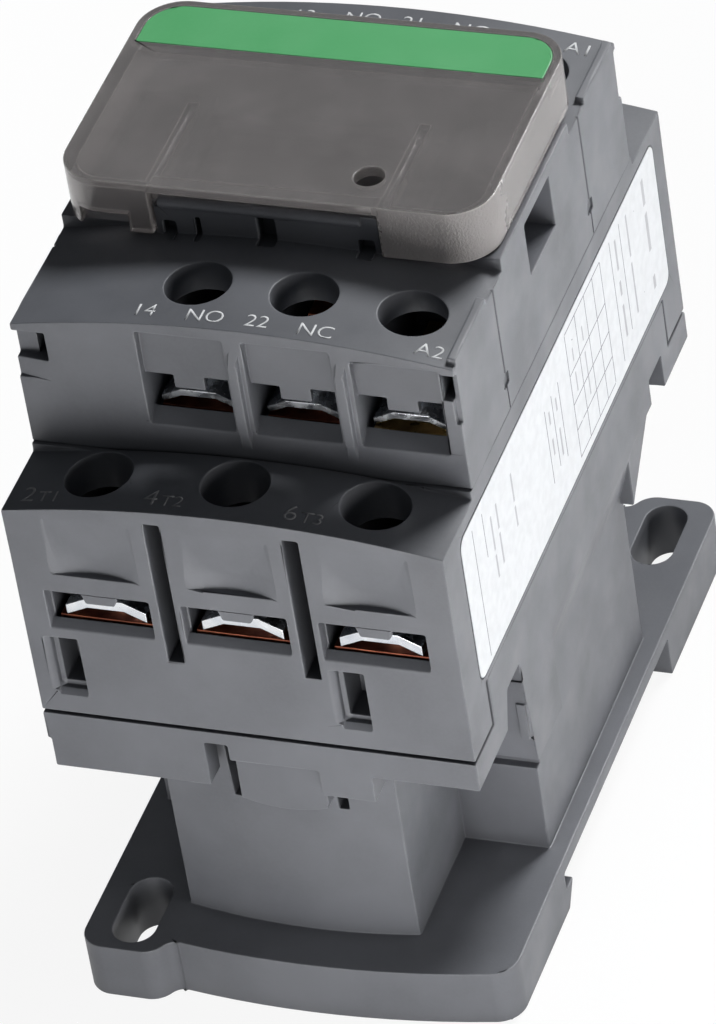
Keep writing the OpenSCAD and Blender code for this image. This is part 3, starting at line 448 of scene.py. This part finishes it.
# hairlines and short bars, each as (y from, y to, z from, z to) in mm
rules, rows = [], []
hair = 0.07
for y, low, high in (
        (-27.6, 42.4, 58.2), (-24.7, 52.4, 57.8), (-5.6, 45.8, 54.9), (-3.4, 46.2, 55.2),
        (-1.2, 45.7, 55.1), (2.2, 42.8, 58.2), (5.5, 42.8, 58.2), (8.6, 42.8, 58.2),
        (11.4, 42.8, 58.2), (14.0, 42.8, 58.2), (17.2, 43.0, 58.2), (20.4, 44.6, 58.0),
        (25.0, 43.4, 58.0)):
    rules.append((y - hair, y + hair, low, high))
for z in (42.8, 46.2, 49.4, 53.0, 56.2, 58.2):
    rules.append((2.2, 14.0, z - hair, z + hair))
for y, wide, spans in (
        (-22.7, 0.4, ((48.2, 51.0), (51.6, 55.8))), (-21.0, 0.4, ((48.6, 52.4), (53.0, 56.0))),
        (-16.3, 0.4, ((49.4, 51.8), (52.4, 55.9))), (-4.5, 0.4, ((48.6, 50.6), (52.4, 54.0))),
        (-2.3, 0.4, ((46.8, 50.2), (52.4, 54.0))), (3.8, 0.3, ((50.0, 52.4), (53.8, 55.4))),
        (7.0, 0.3, ((47.0, 52.4), (53.8, 55.6))), (22.6, 0.4, ((45.0, 51.4), (52.2, 57.4))),
        (18.8, 0.5, ((45.0, 49.0), (50.2, 52.0), (53.4, 57.2))),
        (28.2, 0.7, ((43.8, 45.4), (48.6, 53.4), (54.4, 57.6)))):
    for low, high in spans:
        rows.append((y - wide / 2, y + wide / 2, low, high))
for y in sorted({edge for rule in rules + rows for edge in rule[:2]}):
    bisect_all(label, (0, y * MM, 0), (0, 1, 0))
for z in sorted({edge for rule in rules + rows for edge in rule[2:]}):
    bisect_all(label, (0, 0, z * MM), (0, 0, 1))
film = ink("label_film", (0.72, 0.74, 0.765))
stand_for(label, "side_label", "housing", film)
label.data.materials.append(ink("label_rules", (0.16, 0.17, 0.20)))
label.data.materials.append(ink("label_rows", (0.42, 0.43, 0.46)))
for face in label.data.polygons:
    _, y, z = (v / MM for v in face.center)
    for index, marks in ((2, rows), (1, rules)):
        if face.normal.x > 0.9 and any(a < y < b and c < z < d for a, b, c, d in marks):
            face.material_index = index


# ---------------------------------------------------------------- front cover and marker strip
# A smoked see-through lid that swings on two pins behind it, moulded in one piece.
# The green strip is a solid plastic insert pressed in flush across its rear edge.
smoked = bpy.data.materials.new("smoked_lid")
smoked.use_nodes = True
tree = smoked.node_tree
shader = tree.nodes["Principled BSDF"]
shader.inputs["IOR"].default_value = 1.49
_, haze = mottled(tree, 120, 4, 0.0, 1.0)
tint = blend_colors(tree, haze, (0.40, 0.38, 0.375), (0.47, 0.445, 0.44))
tint = blend_colors(tree, edge_mask(tree, 0.0003, 0.93, 0.995), tint, (0.80, 0.77, 0.74))
tree.links.new(tint, shader.inputs["Base Color"])
# the right end of the front wall is sparked to a satin finish: right of the latch, near the front,
# and on walls but not on the top
place = add_node(tree, "ShaderNodeTexCoord")
along = add_node(tree, "ShaderNodeSeparateXYZ")
tree.links.new(place.outputs["Object"], along.inputs[0])
facing = add_node(tree, "ShaderNodeSeparateXYZ")
tree.links.new(add_node(tree, "ShaderNodeNewGeometry").outputs["Normal"], facing.inputs[0])
satin = None
for socket, start, end in (
        (along.outputs["X"], 10.6 * MM, 12.6 * MM), (along.outputs["Y"], -4 * MM, -9 * MM),
        (facing.outputs["Z"], 0.95, 0.75)):
    ramp = add_node(tree, "ShaderNodeMapRange")
    ramp.inputs["From Min"].default_value = start
    ramp.inputs["From Max"].default_value = end
    tree.links.new(socket, ramp.inputs["Value"])
    if satin:
        both = add_node(tree, "ShaderNodeMath", operation="MULTIPLY")
        tree.links.new(satin, both.inputs[0])
        tree.links.new(ramp.outputs["Result"], both.inputs[1])
        satin = both.outputs[0]
    else:
        satin = ramp.outputs["Result"]
clear = add_node(tree, "ShaderNodeMapRange")
clear.inputs["To Min"].default_value = 0.66
clear.inputs["To Max"].default_value = 0.40
tree.links.new(satin, clear.inputs["Value"])
tree.links.new(clear.outputs["Result"], shader.inputs["Transmission Weight"])
_, polish = mottled(tree, 500, 5, 0.07, 0.20)
rough = add_node(tree, "ShaderNodeMath", operation="MULTIPLY_ADD")
rough.inputs[1].default_value = 0.30
tree.links.new(satin, rough.inputs[0])
tree.links.new(polish, rough.inputs[2])
tree.links.new(rough.outputs[0], shader.inputs["Roughness"])
spark, _ = mottled(tree, 4200, 2, 0, 1)
bump = add_node(tree, "ShaderNodeBump")
bump.inputs["Distance"].default_value = 0.00008
tree.links.new(satin, bump.inputs["Strength"])
tree.links.new(spark.outputs["Fac"], bump.inputs["Height"])
tree.links.new(bump.outputs["Normal"], shader.inputs["Normal"])
sealing_hole = (9.1 * MM, -7.8 * MM, 1.75 * MM)
lid = finished_copy("front_cover", "smoked_lid", 0.15 * MM, holes=[sealing_hole])
stand_for(lid, "front_cover", "cover", smoked)

green = moulded_plastic(
    "green_plastic", (0.12, 0.49, 0.19), (0.14, 0.53, 0.215), (0.22, 0.60, 0.30), (0.30, 0.42), 0.04)
strip = finished_copy("marker_strip", "green_strip", 0.15 * MM)
stand_for(strip, "marker_strip", "cover", green)


# ---------------------------------------------------------------- terminal metalwork
# Zinc-plated steel screws and saddle clamps over stamped copper-alloy bars.
# The plating is bright, a little milky, and rubbed where a driver or wire has been.
def worked_metal(name, base, tarnish, rough, brushed):
    """A worked metal: clouds of tarnish, bright rubbed edges, and fine lines along the axis for
    which brushed, the noise's scale on each axis, is least."""
    material = bpy.data.materials.new(name)
    material.use_nodes = True
    tree = material.node_tree
    shader = tree.nodes["Principled BSDF"]
    shader.inputs["Metallic"].default_value = 1.0
    _, cloud = mottled(tree, 420, 4, 0.0, 1.0)
    color = blend_colors(tree, cloud, base, tarnish)
    bright_edge = tuple(min(1.0, 1.18 * c) for c in base)
    color = blend_colors(tree, edge_mask(tree, 0.0002, 0.93, 0.995), color, bright_edge)
    tree.links.new(color, shader.inputs["Base Color"])
    _, gloss = mottled(tree, 900, 3, rough[0], rough[1])
    tree.links.new(gloss, shader.inputs["Roughness"])
    place = add_node(tree, "ShaderNodeTexCoord")
    stretch = add_node(tree, "ShaderNodeMapping")
    stretch.inputs["Scale"].default_value = brushed
    lines = add_node(tree, "ShaderNodeTexNoise")
    lines.inputs["Scale"].default_value = 1.0
    lines.inputs["Detail"].default_value = 2.0
    tree.links.new(place.outputs["Object"], stretch.inputs["Vector"])
    tree.links.new(stretch.outputs["Vector"], lines.inputs["Vector"])
    bump = add_node(tree, "ShaderNodeBump")
    bump.inputs["Strength"].default_value = 0.25
    bump.inputs["Distance"].default_value = 0.00004
    tree.links.new(lines.outputs["Fac"], bump.inputs["Height"])
    tree.links.new(bump.outputs["Normal"], shader.inputs["Normal"])
    return material


bodies = frame["record"]["behaviour"]["bodies"]
body_of = {node: body for body, nodes in bodies.items() for node in nodes}
zinc = worked_metal(
    "zinc_plate", (0.80, 0.82, 0.84), (0.62, 0.65, 0.70), (0.16, 0.34), (5200, 900, 5200))
copper = worked_metal(
    "copper_bar", (0.40, 0.14, 0.08), (0.20, 0.06, 0.04), (0.30, 0.48), (600, 4200, 4200))
brass = worked_metal(
    "brass_strip", (0.70, 0.52, 0.24), (0.48, 0.33, 0.14), (0.26, 0.42), (4200, 600, 4200))
for node in frame["nodes"]:
    if "clamp_" in node:
        made = finished_copy(node, node + "_plated", 0.10 * MM)
        stand_for(made, node, body_of[node], zinc)
    elif "screw_" in node:
        made = finished_copy(node, node + "_plated", 0.12 * MM)
        stand_for(made, node, body_of[node], zinc)
    elif "_contact_" in node:
        made = finished_copy(node, node + "_stamped", 0.12 * MM)
        stand_for(made, node, body_of[node], copper)
for node, slot, finish in (
        ("aux_contacts", "copper", copper), ("coil_terminals", "terminal_brass", brass)):
    stand_for(finished_copy(node, node + "_stamped", 0.10 * MM), node, "housing", finish)


# ---------------------------------------------------------------- magnet, coil and contact carrier
# The working parts inside: a ground steel core and armature, a wound nylon bobbin, and the
# moulded carrier that pushes the bridges. Springs of hard-drawn wire return and load them.
steel = worked_metal(
    "ground_steel", (0.50, 0.51, 0.53), (0.36, 0.37, 0.40), (0.28, 0.44), (4800, 700, 4800))
spring_wire = worked_metal(
    "spring_wire", (0.58, 0.58, 0.60), (0.42, 0.42, 0.45), (0.22, 0.36), (900, 900, 5200))
bridge_metal = worked_metal(
    "bridge_metal", (0.66, 0.50, 0.36), (0.74, 0.72, 0.68), (0.24, 0.40), (4200, 600, 4200))
lacquered = worked_metal(
    "lacquered_winding", (0.50, 0.17, 0.06), (0.34, 0.09, 0.04), (0.18, 0.32), (500, 500, 9000))
nylon = moulded_plastic(
    "natural_nylon", (0.70, 0.67, 0.60), (0.80, 0.78, 0.72), (0.86, 0.85, 0.80))
black = moulded_plastic(
    "black_plastic", (0.045, 0.045, 0.048), (0.07, 0.07, 0.074), (0.20, 0.20, 0.20))
soft = moulded_plastic(
    "soft_pad", (0.05, 0.05, 0.05), (0.08, 0.08, 0.08), (0.12, 0.12, 0.12), (0.7, 0.85), 0.1)
for node, slot, finish, edge in (
        ("fixed_core", "core_steel", steel, 0.15), ("armature", "core_steel", steel, 0.15),
        ("armature_pin", "spring_steel", steel, 0.15), ("shading_rings", "copper", copper, 0.08),
        ("core_pads", "rubber", soft, 0.10), ("coil_bobbin", "bobbin", nylon, 0.12),
        ("coil_winding", "winding", lacquered, 0.25), ("contact_carrier", "carrier", black, 0.15),
        ("rail_clip", "spring_steel", steel, 0.15),
        ("main_bridge_1", "bridge_metal", bridge_metal, 0.10),
        ("main_bridge_2", "bridge_metal", bridge_metal, 0.10),
        ("main_bridge_3", "bridge_metal", bridge_metal, 0.10),
        ("no_bridge", "bridge_metal", bridge_metal, 0.10),
        ("nc_bridge", "bridge_metal", bridge_metal, 0.10)):
    made = finished_copy(node, node + "_made", edge * MM)
    stand_for(made, node, body_of[node], finish)

# in the real part every spring shortens as the carrier travels: the return spring towards its lower seat,
# and each contact spring towards the carrier's window above it. Here each spring is only a copy of its
# CAD solid in spring wire, put on its body; the joint, stroke and seat given with it are not used
full_travel, bridge_give = 4.8 * MM, 1.0 * MM
lower, upper = 0, 1
for node, joint, stroke, seat in (
        ("return_spring", "carrier_travel", full_travel, lower),
        ("main_spring_1", "bridge_1_give", bridge_give, upper),
        ("main_spring_2", "bridge_2_give", bridge_give, upper),
        ("main_spring_3", "bridge_3_give", bridge_give, upper),
        ("no_spring", "bridge_no_give", bridge_give, upper),
        ("nc_spring", "bridge_nc_give", bridge_give, upper)):
    coil = bpy.data.objects.new(node + "_coil", frame["nodes"][node].data.copy())
    scene.collection.objects.link(coil)
    coil.data.materials.clear()
    stand_for(coil, node, body_of[node], spring_wire)
    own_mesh(coil)
